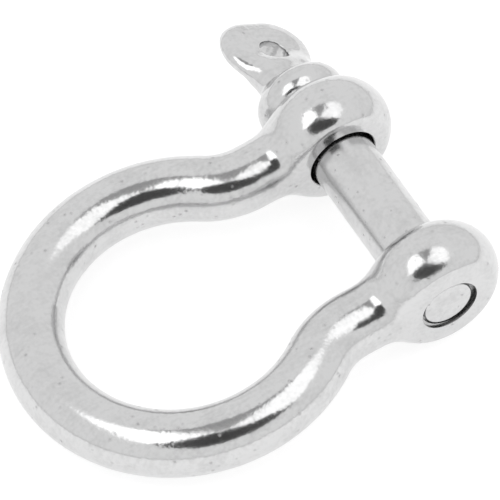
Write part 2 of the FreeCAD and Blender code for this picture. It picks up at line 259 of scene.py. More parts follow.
def new_tree(name):
    """An empty Geometry Nodes tree that will hand on a shape."""
    tree = bpy.data.node_groups.new(name, "GeometryNodeTree")
    tree.interface.new_socket("Geometry", in_out="OUTPUT", socket_type="NodeSocketGeometry")
    return tree


def finish_tree(tree, geometry, material):
    """Every tree ends in Realize Instances and Set Material."""
    realize = add_node(tree, "GeometryNodeRealizeInstances", {0: geometry})
    dressed = {"Geometry": realize.outputs[0], "Material": material}
    dress = add_node(tree, "GeometryNodeSetMaterial", dressed)
    add_node(tree, "NodeGroupOutput", {0: dress.outputs[0]})


def run_tree(name, tree, values):
    """Put a tree on a new piece, give its inputs their values by identifier, and keep the result."""
    piece = new_piece(name)
    modifier = piece.modifiers.new(tree.name, "NODES")
    modifier.node_group = tree
    for item in tree.interface.items_tree:
        if item.in_out == "INPUT" and item.name in values:
            modifier[item.identifier] = values[item.name]
    return plain_mesh(piece)


print("a tree ends in Realize Instances and Set Material")

# %% [markdown]
# ## From a distance rule to a mesh
# One function builds the tree for any rule. A Volume Cube fills a block with the rule's values and Volume
# to Mesh wraps the surface in small quads. Those quads alone would shimmer in a mirror finish, so a few
# Set Position nodes then slide each vertex along its own normal by most of the distance that is left, and
# the vertices end on the smooth surface. A last, very small slide by a noise value gives the slow ripple
# that hand polishing leaves on a forging.

# %% Wrap a rule and settle the mesh on it
SURFACE_LEVEL = 1.0
SETTLE_SHARE = 0.75
SETTLE_TIMES = 4
RIPPLE_DETAIL = 1.0


def wrap_rule(tree, distance, given):
    """Fill the block with the rule's values, higher inside, and wrap the level of the surface."""
    fill = {"Min": given["Low Corner"], "Max": given["High Corner"]}
    for axis in "XYZ":
        fill[f"Resolution {axis}"] = given[f"Cells {axis}"]
    fill["Density"] = -(distance / MM) + SURFACE_LEVEL
    volume = add_node(tree, "GeometryNodeVolumeCube", fill)
    level = {"Volume": volume.outputs[0], "Threshold": SURFACE_LEVEL}
    return add_node(tree, "GeometryNodeVolumeToMesh", level).outputs[0]


def slide(tree, geometry, distance):
    """Move each vertex this far along its own normal."""
    normal = add_node(tree, "GeometryNodeInputNormal").outputs[0]
    step = add_node(tree, "ShaderNodeVectorMath", {0: normal, "Scale": distance}, operation="SCALE")
    moved = {"Geometry": geometry, "Offset": step.outputs[0]}
    return add_node(tree, "GeometryNodeSetPosition", moved).outputs[0]


print("a vertex settles in", SETTLE_TIMES, "slides")

# %% The tree for any rule
def surface_inputs(tree, sizes):
    """The named inputs of a surface tree: the piece's sizes, its block, its ripple and its material."""
    for name, value in sizes.items():
        add_input(tree, name, "NodeSocketFloat", value)
    for name in ("Low Corner", "High Corner"):
        add_input(tree, name, "NodeSocketVector", (0.0, 0.0, 0.0))
    for axis in "XYZ":
        add_input(tree, f"Cells {axis}", "NodeSocketInt", 2)
    add_input(tree, "Ripple Depth", "NodeSocketFloat", 0.0)
    add_input(tree, "Ripple Scale", "NodeSocketFloat", 100.0)
    add_input(tree, "Material", "NodeSocketMaterial")
    return tree.nodes.new("NodeGroupInput").outputs


def surface_tree(name, rule, sizes):
    """A tree that meshes the zero level of a rule, a function of the place and the named sizes."""
    tree = new_tree(name)
    given = surface_inputs(tree, sizes)
    place = add_node(tree, "GeometryNodeInputPosition").outputs[0]
    (x, y, z) = axes_of(tree, place)
    distance = rule(tree, x, y, z, {size: Field(tree, given[size]) for size in sizes})
    settle = distance * -SETTLE_SHARE
    noise = noise_field(tree, place, given["Ripple Scale"], RIPPLE_DETAIL)
    ripple = (noise - 1.0) * Field(tree, given["Ripple Depth"])
    geometry = wrap_rule(tree, distance, given)
    for move in [settle] * SETTLE_TIMES + [ripple]:
        geometry = slide(tree, geometry, move)
    smooth = add_node(tree, "GeometryNodeSetShadeSmooth", {"Geometry": geometry})
    finish_tree(tree, smooth.outputs[0], given["Material"])
    return tree


def block(low, high, cell, margin):
    """The corners of a block round a shape, and how many cells of this size fill it."""
    low = [value - margin for value in low]
    high = [value + margin for value in high]
    cells = [math.ceil((b - a) / cell) for a, b in zip(low, high)]
    counts = {f"Cells {axis}": count for axis, count in zip("XYZ", cells)}
    return {"Low Corner": low, "High Corner": high, **counts}


print("a rule takes its tree, the place and the piece's sizes")

# %% [markdown]
# ## The bow's centre line
# The bar's centre line is straight legs, two shoulder arcs and the crown arc, all tangent. It is drawn
# as a polyline of very short steps, because the distance rule measures from it.

# %% Centre line
SHOULDER_CENTRE = EAR_CENTRE + SHOULDER_RADIUS
SPREAD = CROWN_RADIUS + SHOULDER_RADIUS
SHOULDER_START = CROWN_CENTRE - math.sqrt(SPREAD**2 - SHOULDER_CENTRE**2)
CROWN_HALF_TURN = math.atan2(SHOULDER_CENTRE, SHOULDER_START - CROWN_CENTRE)
QUARTER_TURN = math.pi / 2
LINE_STEP = 0.08 * MM


def arc_points(centre_x, centre_y, radius, start, end):
    """Points along an arc in the bow's plane, one short step apart, without its last point."""
    steps = max(2, round(abs(end - start) * radius / LINE_STEP))
    for step in range(steps):
        angle = start + (end - start) * step / steps
        yield (centre_x + radius * math.cos(angle), centre_y + radius * math.sin(angle), 0.0)


def bow_line():
    """The middle of the bar, from the tapped eye round the crown to the plain one."""
    shoulder = (SHOULDER_START, SHOULDER_CENTRE, SHOULDER_RADIUS)
    other_shoulder = (SHOULDER_START, -SHOULDER_CENTRE, SHOULDER_RADIUS)
    half_turn = CROWN_HALF_TURN
    points = [(0.0, EAR_CENTRE, 0.0)]
    points += arc_points(*shoulder, -QUARTER_TURN, half_turn - math.pi)
    points += arc_points(CROWN_CENTRE, 0.0, CROWN_RADIUS, half_turn, -half_turn)
    points += arc_points(*other_shoulder, math.pi - half_turn, QUARTER_TURN)
    points += [(SHOULDER_START, -EAR_CENTRE, 0.0), (0.0, -EAR_CENTRE, 0.0)]
    return points


def wire(name, points):
    """A bare line of edges through some points."""
    line = new_piece(name)
    line.data.from_pydata(points, [(i, i + 1) for i in range(len(points) - 1)], [])
    return line


centre_line = wire("centre_line", bow_line())
print("centre line points", len(centre_line.data.vertices))

# %% [markdown]
# ## The forged bow
# On the real object the bow is one bar, hot-bent and pressed in a die so that each end swells into an eye.
# The rule says the same thing: stay one bar radius from the centre line, melt into a pill-shaped eye at
# each end, and trim both eyes flat where the machinist faced them. The centre line comes in through
# an Object Info node and a Geometry Proximity node measures the distance to it.

# %% Rule of the bow
BOW_SIZES = {
    "Bar Radius": BAR_RADIUS,
    "Ear Centre": EAR_CENTRE,
    "Ear Core": EAR_CORE,
    "Ear Rim": EAR_RIM,
    "Ear Half Thickness": EAR_HALF_THICKNESS,
    "Blend": 3.0 * MM,
    "Face Edge": 0.7 * MM,
    "Facing Reach": 11.0 * MM,
}
FACING_FADE = 1.0 * MM
WELL_CLEAR = 40.0 * MM


def bow_rule(tree, x, y, z, size):
    """How far a point is from the forging. The facing cut acts on the eyes only, not on the crown."""
    line = add_node(tree, "GeometryNodeObjectInfo", {"Object": centre_line}).outputs["Geometry"]
    near = add_node(tree, "GeometryNodeProximity", {"Target": line}, target_element="EDGES")
    bar = Field(tree, near.outputs["Distance"]) - size["Bar Radius"]
    side = abs(y) - size["Ear Centre"]
    ear = length(most(length(x, z) - size["Ear Core"], 0.0), side) - size["Ear Rim"]
    reach = size["Facing Reach"]
    past_the_eye = ramp(x, reach, reach + FACING_FADE) * WELL_CLEAR
    face = abs(side) - size["Ear Half Thickness"] - past_the_eye
    return trim(melt(bar, ear, size["Blend"]), face, size["Face Edge"])


print("sizes of the bow", ", ".join(BOW_SIZES))

# %% [markdown]
# ## Steel, in three finishes
# The bow and the head are tumbled and buffed: nearly a mirror, with slow clouds, small pits that the
# buff did not reach, and hair-fine lines. The shank is smoother, and its soft lines run along it. The
# bores and the threads are cut and left, so they are duller and darker. The effects are shader node
# groups, built once, and each finish gives them its own amounts.

# %% Groups for clouds, pits and hair lines
CLOUD_DETAIL = 3.0
LINE_DETAIL = 2.0
PIT_FADE = 0.05


def shader_group(name, inputs, output):
    """A shader node group with a vector, named numbers and one output, and its input sockets."""
    tree = bpy.data.node_groups.new(name, "ShaderNodeTree")
    add_input(tree, "Vector", "NodeSocketVector")
    for label, value in inputs.items():
        add_input(tree, label, "NodeSocketFloat", value)
    tree.interface.new_socket(output, in_out="OUTPUT", socket_type="NodeSocketFloat")
    return tree, tree.nodes.new("NodeGroupInput").outputs


def make_clouds():
    """Slow light and dark patches left by the buffing wheel."""
    (tree, given) = shader_group("Buffing clouds", {"Scale": 200.0, "Contrast": 1.0}, "Cloud")
    noise = noise_field(tree, given["Vector"], given["Scale"], CLOUD_DETAIL)
    cloud = (noise - 0.5) * Field(tree, given["Contrast"])
    add_node(tree, "NodeGroupOutput", {"Cloud": cloud})
    return tree


def make_pits():
    """Small round pits, at most one in each cell of a Voronoi texture. Share is how many cells have one."""
    sizes = {"Scale": 700.0, "Size": 0.3, "Share": 0.3}
    (tree, given) = shader_group("Forging pits", sizes, "Pit")
    spread = {"Vector": given["Vector"], "Scale": given["Scale"]}
    cells = add_node(tree, "ShaderNodeTexVoronoi", spread)
    shade = add_node(tree, "ShaderNodeSeparateColor", {0: cells.outputs["Color"]})
    drawn = Field(tree, given["Share"]) - Field(tree, shade.outputs["Red"])
    chosen = ramp(drawn, 0.0, PIT_FADE)
    inside = -(Field(tree, cells.outputs["Distance"]) / Field(tree, given["Size"])) + 1.0
    add_node(tree, "NodeGroupOutput", {"Pit": most(inside, 0.0) * chosen})
    return tree


def make_hair_lines():
    """Fine lines: noise squeezed one way and stretched the other.

    Along scales X and Z, Across scales Y, and the lines run the way that is scaled less.
    """
    (tree, given) = shader_group("Hair lines", {"Along": 60.0, "Across": 3000.0}, "Line")
    (x, y, z) = axes_of(tree, given["Vector"])
    along = Field(tree, given["Along"])
    squeezed = vector_of(tree, x * along, y * Field(tree, given["Across"]), z * along)
    add_node(tree, "NodeGroupOutput", {"Line": noise_field(tree, squeezed, 1.0, LINE_DETAIL)})
    return tree


CLOUDS = make_clouds()
PITS = make_pits()
HAIR_LINES = make_hair_lines()
print("groups", CLOUDS.name, PITS.name, HAIR_LINES.name)

# %% [markdown]
# A finish is one Principled BSDF, fully metallic. The groups stain its colour and move its roughness a
# little, darken the pits and feed one Bump node, so a highlight breaks up as it does on a real buffed
# forging. How much each effect stains and roughens is the same for all three finishes.

# %% How a finish is put together
STEEL_TINT = (0.650, 0.650, 0.652)
CUT_TINT = (0.50, 0.50, 0.50)
PIT_TINT = (0.20, 0.20, 0.20)
STAIN_OF_CLOUD = 0.40
STAIN_OF_SKIN = 0.34
STAIN_OF_PIT = 0.50
STAIN_OF_LINE = 0.16
STAIN_EVERYWHERE = 0.05
ROUGH_OF_CLOUD = 0.12
ROUGH_OF_SKIN = 0.08
ROUGH_OF_PIT = 0.3
ROUGH_OF_LINE = 0.08
SMOOTHEST = 0.03


def new_material(name):
    """A material with an empty node tree."""
    material = bpy.data.materials.new(name)
    material.use_nodes = True
    material.node_tree.nodes.clear()
    return material


def use_group(tree, group, vector, values):
    """Place a group in a material with its own values, and hand back what it puts out."""
    node = add_node(tree, "ShaderNodeGroup", {"Vector": vector, **values}, node_tree=group)
    return Field(tree, node.outputs[0])


def steel(name, tint, roughness, clouds, peel, pits, lines, heights):
    """A steel finish. The heights are the depths of clouds, peel, pits and lines in metres."""
    material = new_material(name)
    tree = material.node_tree
    where = add_node(tree, "ShaderNodeTexCoord").outputs["Object"]
    cloud = use_group(tree, CLOUDS, where, clouds)
    skin = use_group(tree, CLOUDS, where, peel)
    pit = use_group(tree, PITS, where, pits)
    line = use_group(tree, HAIR_LINES, where, lines)
    streak = (line - 0.5) * STAIN_OF_LINE
    stain = cloud * STAIN_OF_CLOUD + skin * STAIN_OF_SKIN + streak + STAIN_EVERYWHERE
    darkness = least(most(pit * STAIN_OF_PIT + stain, 0.0), 1.0)
    tints = {"A": (*tint, 1.0), "B": (*PIT_TINT, 1.0), "Factor": darkness}
    colour = add_node(tree, "ShaderNodeMix", tints, data_type="RGBA")
    worn = cloud * ROUGH_OF_CLOUD + skin * ROUGH_OF_SKIN + pit * ROUGH_OF_PIT
    rough = worn + (line - 0.5) * ROUGH_OF_LINE + roughness
    depths = [feature * depth for feature, depth in zip((cloud, skin, -pit, line), heights)]
    height = depths[0] + depths[1] + depths[2] + depths[3]
    bump = add_node(tree, "ShaderNodeBump", {"Distance": 1.0, "Height": height})
    look = {
        "Metallic": 1.0,
        "Base Color": colour.outputs["Result"],
        "Roughness": most(rough, SMOOTHEST),
        "Normal": bump.outputs[0],
    }
    shader = add_node(tree, "ShaderNodeBsdfPrincipled", look)
    add_node(tree, "ShaderNodeOutputMaterial", {"Surface": shader.outputs[0]})
    return material


print("steel tint", STEEL_TINT)

# %% [markdown]
# The buffed finish has the widest clouds and the deepest ripples in its skin, and its lines run across the
# pin. The turned one is flatter, and its lines run along the pin. The cut one starts from a darker tint,
# is the roughest, and has the finest lines, round the pin's axis as a drill leaves them.

# %% The three finishes
BUFFED = steel(
    "buffed_steel",
    STEEL_TINT,
    roughness=0.15,
    clouds={"Scale": 240.0, "Contrast": 1.0},
    peel={"Scale": 1500.0, "Contrast": 1.0},
    pits={"Scale": 1100.0, "Size": 0.42, "Share": 0.10},
    lines={"Along": 260.0, "Across": 1900.0},
    heights=(0.055 * MM, 0.020 * MM, 0.012 * MM, 0.0018 * MM),
)
TURNED = steel(
    "turned_steel",
    STEEL_TINT,
    roughness=0.20,
    clouds={"Scale": 300.0, "Contrast": 1.0},
    peel={"Scale": 1300.0, "Contrast": 1.2},
    pits={"Scale": 1300.0, "Size": 0.40, "Share": 0.14},
    lines={"Along": 1100.0, "Across": 120.0},
    heights=(0.020 * MM, 0.009 * MM, 0.008 * MM, 0.0040 * MM),
)
CUT = steel(
    "cut_steel",
    CUT_TINT,
    roughness=0.27,
    clouds={"Scale": 500.0, "Contrast": 1.0},
    peel={"Scale": 2500.0, "Contrast": 1.0},
    pits={"Scale": 1500.0, "Size": 0.3, "Share": 0.2},
    lines={"Along": 200.0, "Across": 6000.0},
    heights=(0.006 * MM, 0.004 * MM, 0.010 * MM, 0.0020 * MM),
)
print("finishes", BUFFED.name, TURNED.name, CUT.name)

# %% [markdown]
# ## Forging the bow
# The rule, its sizes and the buffed finish now meet in one tree. The block is the bow's own box with a
# little margin, and the cells are small enough for the eyes' rounded edges. The line has done its work.

# %% Make the bow's forging
BOW_CELL = 0.35 * MM
BLOCK_MARGIN = 1.0 * MM
bow = run_tree(
    "bow_forging",
    surface_tree("Forged bow", bow_rule, BOW_SIZES),
    {
        **block(BOW_LOW, BOW_HIGH, BOW_CELL, BLOCK_MARGIN),
        "Ripple Depth": 0.05 * MM,
        "Ripple Scale": 90.0,
        "Material": BUFFED,
    },
)
bpy.data.objects.remove(centre_line)
report(bow)

# %% [markdown]
# ## Turned shapes
# The shank, the point and the drilled holes are all made by turning a half profile round the pin's axis. A
# short function makes the rings itself, so the ends close in a proper fan and the faces point outwards.

# %% Turning
POINTS_ROUND = 160


def turned(name, profile, material):
    """Turn a profile of (radius, place along Y) points, from one end of the axis to the other."""
    shell = bmesh.new()
    angles = [2 * math.pi * step / POINTS_ROUND for step in range(POINTS_ROUND)]
    rings = []
    for radius, place in profile:
        if radius == 0.0:
            rings.append([shell.verts.new((0.0, place, 0.0))])
            continue
        rings.append(
            [shell.verts.new((radius * math.cos(a), place, radius * math.sin(a))) for a in angles]
        )
    for first, second in zip(rings, rings[1:]):
        for step in range(POINTS_ROUND):
            after = (step + 1) % POINTS_ROUND
            corners = [first[step % len(first)], first[after % len(first)]]
            corners += [second[after % len(second)], second[step % len(second)]]
            shell.faces.new(list(dict.fromkeys(corners)))
    bmesh.ops.recalc_face_normals(shell, faces=shell.faces)
    piece = new_piece(name)
    shell.to_mesh(piece.data)
    shell.free()
    piece.data.materials.append(material)
    return piece


def crisp(piece, degrees):
    """Smooth shading, but with real edges where the surface turns more sharply than this."""
    piece.data.shade_smooth()
    piece.data.set_sharp_from_angle(angle=math.radians(degrees))


def rounded_corner(radius, place, edge, steps):
    """Profile points of a quarter-round edge that ends a cylinder on its +Y side."""
    for step in range(steps + 1):
        turn = QUARTER_TURN * step / steps
        yield (radius - edge + edge * math.cos(turn), place - edge + edge * math.sin(turn))


print("turned pieces have", POINTS_ROUND, "points round")

# %% [markdown]
# ## Drilling the eyes
# One eye is drilled clear of the pin. The other is bored for the thread, with a chamfer at its inner mouth
# and a narrower lip at its outer one, close round the pin's point. The holes are cut with a Boolean
# modifier after the surface is wrapped, because a cut keeps a crisp edge that the volume would have
# blurred. The cutter's own finish comes through as the wall of the hole.

# %% Drill the eyes
PLAIN_HOLE = 5.5 * MM
PLAIN_CHAMFER = 0.15 * MM
PLAIN_MOUTH = PLAIN_HOLE + PLAIN_CHAMFER
TAPPED_ROOT = 5.0 * MM
TAPPED_MOUTH = 5.15 * MM
TAPPED_LIP = 4.6 * MM
TAPPED_CHAMFER = 0.4 * MM
CUT_PAST = 1.0 * MM


def hole_cutter(name, radius, mouth, outer, chamfer, side):
    """A turned cutter through one eye, with its radius inside and at the inner and outer mouths.

    Side is +1 for the tapped eye and -1 for the plain one.
    """
    places = [
        (0.0, EAR_INNER - CUT_PAST),
        (mouth, EAR_INNER - CUT_PAST),
        (mouth, EAR_INNER),
        (radius, EAR_INNER + chamfer),
        (radius, EAR_OUTER - chamfer),
        (outer, EAR_OUTER - chamfer),
        (outer, EAR_OUTER + CUT_PAST),
        (0.0, EAR_OUTER + CUT_PAST),
    ]
    return turned(name, [(r, side * y) for r, y in places], CUT)


def drill(piece, cutter):
    """Take a cutter out of a piece and throw the cutter away."""
    cut = piece.modifiers.new(cutter.name, "BOOLEAN")
    cut.operation = "DIFFERENCE"
    cut.solver = "EXACT"
    cut.material_mode = "TRANSFER"
    cut.object = cutter
    plain_mesh(piece)
    bpy.data.objects.remove(cutter)


drill(bow, hole_cutter("clearance_drill", PLAIN_HOLE, PLAIN_MOUTH, PLAIN_MOUTH, PLAIN_CHAMFER, -1))
drill(bow, hole_cutter("tapping_drill", TAPPED_ROOT, TAPPED_MOUTH, TAPPED_LIP, TAPPED_CHAMFER, 1))
crisp(bow, degrees=30)
report(bow)

# %% [markdown]
# ## The head of the pin
# The head is forged in one piece with the shank: a round collar that stops against the eye, and a flat
# tab for the thumb with a small hole for seizing wire. It is made by the same kind of rule as the bow.
# The tab is an oval disc with a rounded edge, a little thinner towards its rim. A slab with round sides
# makes its neck, and a cone carries the neck into the collar. The three are melted together and a hole
# goes through the disc. The collar is a disc with a full round rim, cut off at its seat.

# %% Sizes of the head
TAB_TILT = math.radians(33.8)
TAB_FAR = PIN_LOW[1]
COLLAR_SEAT = -EAR_OUTER
COLLAR_SEAT_RADIUS = 5.75 * MM
COLLAR_CORE = 4.0 * MM
COLLAR_RIM = 3.15 * MM
COLLAR_PLACE = COLLAR_SEAT - math.sqrt(COLLAR_RIM**2 - (COLLAR_SEAT_RADIUS - COLLAR_CORE) ** 2)
HEAD_SIZES = {
    "Tab Half Width": 7.9 * MM,
    "Tab Half Length": 6.1 * MM,
    "Tab Half Thickness": 1.65 * MM,
    "Tab Edge": 1.5 * MM,
    "Shoulder Width": 2.6 * MM,
    "Shoulder Fall": 0.18,
    "Neck Half Width": 5.4 * MM,
    "Neck Half Thickness": 2.5 * MM,
    "Neck Start": -29.4 * MM,
    "Root Radius": 3.6 * MM,
    "Root Place": -26.5 * MM,
    "Root Slope": 0.65,
    "Neck Blend": 3.2 * MM,
    "Hole Radius": 2.25 * MM,
    "Hole Place": -33.2 * MM,
    "Hole Edge": 0.5 * MM,
    "Collar Core": COLLAR_CORE,
    "Collar Rim": COLLAR_RIM,
    "Crease": 1.2 * MM,
}
print("collar's middle at", round(COLLAR_PLACE / MM, 2), "mm, tab's end at", round(TAB_FAR / MM, 2), "mm")

# %% [markdown]
# A cone's rule measures straight out from its axis, which is more than the distance to its sloping side.
# A cosine puts that right: the cosine of the slope's angle, here 0.84.

# %% Rule of the head
CONE_COSINE = 0.84


def disc_distance(across, height, y, size):
    """The oval disc of the tab, with shoulders that fall away towards its rounded edge."""
    end_radius = size["Tab Half Length"]
    past_side = most(across - size["Tab Half Width"] + end_radius, 0.0)
    outline = length(past_side, y - TAB_FAR - end_radius) - end_radius
    edge = size["Tab Edge"]
    in_side = outline + edge
    fall = most(outline + size["Shoulder Width"], 0.0) * size["Shoulder Fall"]
    in_face = height + fall - size["Tab Half Thickness"] + edge
    return length(most(in_side, 0.0), most(in_face, 0.0)) + least(most(in_side, in_face), 0.0) - edge


def neck_distance(across, height, y, size):
    """A slab with round sides and a round end, towards the tab."""
    thick = size["Neck Half Thickness"]
    past_end = least(y - size["Neck Start"], 0.0)
    past_core = most(across - size["Neck Half Width"] + thick, 0.0)
    return length(length(past_core, height), past_end) - thick


def head_rule(tree, x, y, z, size):
    """How far a point is from the head. The tab leans, so its own width and height are worked out first."""
    across = abs(x * math.cos(TAB_TILT) + z * math.sin(TAB_TILT))
    height = abs(z * math.cos(TAB_TILT) - x * math.sin(TAB_TILT))
    swell = (y - size["Root Place"]) * size["Root Slope"]
    root = (length(across, height) - size["Root Radius"] - swell) * CONE_COSINE
    disc = disc_distance(across, height, y, size)
    tab = melt(disc, neck_distance(across, height, y, size), size["Neck Blend"])
    tab = melt(tab, root, size["Neck Blend"])
    hole = -length(across, y - size["Hole Place"]) + size["Hole Radius"]
    tab = most(trim(tab, hole, size["Hole Edge"]), y - COLLAR_PLACE)
    collar = length(most(length(x, z) - size["Collar Core"], 0.0), y - COLLAR_PLACE) - size["Collar Rim"]
    return most(melt(collar, tab, size["Crease"]), y - COLLAR_SEAT)


print("cosine of the cone", round(math.cos(math.atan(HEAD_SIZES["Root Slope"])), 2))

# %% Make the head and line its hole
HEAD_CELL = 0.2 * MM
COLLAR_EDGE = COLLAR_CORE + COLLAR_RIM
HOLE_WALL_REACH = HEAD_SIZES["Hole Radius"] + 0.08 * MM
head_corners = ((-COLLAR_EDGE, TAB_FAR, -COLLAR_EDGE), (COLLAR_EDGE, COLLAR_SEAT, COLLAR_EDGE))
head = run_tree(
    "pin_head",
    surface_tree("Forged head", head_rule, HEAD_SIZES),
    {
        **block(*head_corners, HEAD_CELL, BLOCK_MARGIN),
        "Ripple Depth": 0.03 * MM,
        "Ripple Scale": 160.0,
        "Material": BUFFED,
    },
)


def line_hole(piece, reach):
    """Give the wall of the tab's hole the drilled finish: the faces this close to the hole's axis."""
    piece.data.materials.append(CUT)
    sideways = Vector((math.cos(TAB_TILT), 0.0, math.sin(TAB_TILT)))
    for face in piece.data.polygons:
        across = face.center.dot(sideways)
        if math.hypot(across, face.center.y - HEAD_SIZES["Hole Place"]) < reach:
            face.material_index = 1


line_hole(head, HOLE_WALL_REACH)
crisp(head, degrees=35)
report(head)

# %% [markdown]
# ## The shank
# The shank is plain where it bears and smaller where the thread will lie. It is turned in one go with the
# point, from inside the collar to the far end. Its corners get small bevels and its end a rounded edge.

# %% Shank and point
THREAD_PITCH = 1.5 * MM
THREAD_ROOT = 4.08 * MM
THREAD_CREST = 4.95 * MM
POINT_RADIUS = 4.0 * MM
POINT_EDGE = 0.4 * MM
POINT_EDGE_STEPS = 6
POINT_STEP = 0.1 * MM
COLLAR_END_BEVEL = 0.2 * MM
SHANK_BEVEL = 0.15 * MM
RUN_DOWN = 0.5 * MM
shank = turned(
    "pin_shank",
    [
        (0.0, COLLAR_PLACE),
        (SHANK_RADIUS - COLLAR_END_BEVEL, COLLAR_PLACE),
        (SHANK_RADIUS, COLLAR_PLACE + COLLAR_END_BEVEL),
        (SHANK_RADIUS, SHANK_END - SHANK_BEVEL),
        (SHANK_RADIUS - SHANK_BEVEL, SHANK_END),
        (THREAD_ROOT, SHANK_END + RUN_DOWN),
        (THREAD_ROOT, POINT_LOW[1]),
        (POINT_RADIUS, POINT_LOW[1] + POINT_STEP),
        *rounded_corner(POINT_RADIUS, POINT_HIGH[1], POINT_EDGE, POINT_EDGE_STEPS),
        (0.0, POINT_HIGH[1]),
    ],
    TURNED,
)
crisp(shank, degrees=40)
report(shank)

# %% [markdown]
# ## The two threads
# A thread could be cut with a helix Boolean, but it is also a ridge that follows a path, so Geometry Nodes
# lay it on instead: a line is wound into a helix and a trapezium is swept along it, shrinking to nearly
# nothing at both ends. The same tree makes the ridge inside the eye, with the trapezium pointing inwards.

# %% Thread tree
THREAD_SIZES = {
    "Pitch": THREAD_PITCH,
    "Turns": 6.0,
    "Start": 0.0,
    "Base Radius": THREAD_ROOT,
    "Height": THREAD_CREST - THREAD_ROOT,
    "Base Width": 1.2 * MM,
    "Crest Width": 0.2 * MM,
    "Run Out": 0.5,
    "Inward": 0.0,
}
HELIX_POINTS = 600
FAINTEST_RIDGE = 0.01


def thread_inputs(tree):
    """The thread's sizes as named inputs, and the same inputs as fields."""
    for name, value in THREAD_SIZES.items():
        add_input(tree, name, "NodeSocketFloat", value)
    add_input(tree, "Points", "NodeSocketInt", HELIX_POINTS)
    add_input(tree, "Material", "NodeSocketMaterial")
    sockets = tree.nodes.new("NodeGroupInput").outputs
    return {socket.name: Field(tree, socket) for socket in sockets if socket.name}


def wound_line(tree, given, turns):
    """A line of many points, wound into a helix that climbs along Z."""
    angle = turns * (2 * math.pi)
    across = angle.combine("COSINE") * given["Base Radius"]
    up = angle.combine("SINE") * given["Base Radius"]
    helix = vector_of(tree, across, up, turns * given["Pitch"] + given["Start"])
    line = add_node(tree, "GeometryNodeCurvePrimitiveLine").outputs[0]
    many = add_node(tree, "GeometryNodeResampleCurve", {"Curve": line, "Count": given["Points"]})
    wound = {"Geometry": many.outputs[0], "Position": helix}
    wind = add_node(tree, "GeometryNodeSetPosition", wound)
    return add_node(tree, "GeometryNodeSetCurveNormal", {"Curve": wind.outputs[0]}, mode="Z_UP").outputs[0]


def ridge_profile(tree, given):
    """The trapezium, standing on its base line and pointing away from the axis, or towards it."""
    sizes = {
        "Bottom Width": given["Base Width"],
        "Top Width": given["Crest Width"],
        "Offset": 0.0,
        "Height": given["Height"],
    }
    ridge = add_node(tree, "GeometryNodeCurvePrimitiveQuadrilateral", sizes, mode="TRAPEZOID")
    lift = vector_of(tree, 0.0, given["Height"] * 0.5, 0.0)
    lifted = {"Geometry": ridge.outputs[0], "Translation": lift}
    stand = add_node(tree, "GeometryNodeTransform", lifted)
    turn = vector_of(tree, 0.0, 0.0, given["Inward"] * math.pi - QUARTER_TURN)
    turned_round = {"Geometry": stand.outputs[0], "Rotation": turn}
    return add_node(tree, "GeometryNodeTransform", turned_round).outputs[0]


def thread_tree():
    """A ridge swept along a helix and laid along Y. It fades over the Run Out, in turns."""
    tree = new_tree("Cut thread")
    given = thread_inputs(tree)
    part = Field(tree, add_node(tree, "GeometryNodeSplineParameter").outputs["Factor"])
    turns = part * given["Turns"]
    ends = least(turns, given["Turns"] - turns) / given["Run Out"]
    swept = {
        "Curve": wound_line(tree, given, turns),
        "Profile Curve": ridge_profile(tree, given),
        "Scale": least(most(ends, FAINTEST_RIDGE), 1.0),
        "Fill Caps": True,
    }
    sweep = add_node(tree, "GeometryNodeCurveToMesh", swept)
    along_pin = {"Geometry": sweep.outputs[0], "Rotation": (-QUARTER_TURN, 0.0, 0.0)}
    lay = add_node(tree, "GeometryNodeTransform", along_pin)
    finish_tree(tree, lay.outputs[0], given["Material"])
    return tree


THREAD = thread_tree()
print("thread tree has", len(THREAD.nodes), "nodes")

# %% [markdown]
# The pin's ridge starts where the plain shank ends. The eye's ridge starts half a pitch later, so that it
# lies in the pin's groove. Each sinks a little into the metal that it stands on, so no gap shows.

# %% Make both threads
SINK = 0.05 * MM
EAR_RIDGE_HEIGHT = 0.81 * MM
pin_thread = run_tree(
    "pin_thread",
    THREAD,
    {
        "Start": SHANK_END,
        "Turns": 6.0,
        "Base Radius": THREAD_ROOT - SINK,
        "Height": THREAD_CREST - THREAD_ROOT + SINK,
        "Base Width": 1.28 * MM,
        "Crest Width": 0.2 * MM,
        "Material": CUT,
    },
)
ear_thread = run_tree(
    "ear_thread",
    THREAD,
    {
        "Start": SHANK_END + THREAD_PITCH / 2,
        "Turns": 6.5,
        "Base Radius": TAPPED_ROOT + SINK,
        "Height": EAR_RIDGE_HEIGHT + SINK,
        "Base Width": 1.25 * MM,
        "Crest Width": 0.3 * MM,
        "Inward": 1.0,
        "Material": CUT,
    },
)
for thread in (pin_thread, ear_thread):
    crisp(thread, degrees=20)
    report(thread)

# %% [markdown]
# ## Who rides on what
# The bow and the ridge in its eye stay with the bow body. Everything on the pin turns and slides
# with the screw pin body, its plain point too, because on the real pin the point is the same metal.

# %% Bodies and slots
bow_pieces = (bow, ear_thread)
pin_pieces = (head, shank, pin_thread)
for piece in bow_pieces:
    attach(piece, "bow")
for piece in pin_pieces:
    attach(piece, "screw_pin")
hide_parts("bow")
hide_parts("screw_pin", "pin_tip")
print("on the bow", [piece.name for piece in bow_pieces], "on the pin", [piece.name for piece in pin_pieces])

# %% [markdown]
# ## Camera
# A long lens from above and behind the crown, turned a little, as for a catalogue. It is placed by an
# azimuth, an elevation and a distance from a point in the bow's own plane, between eyes and crown.

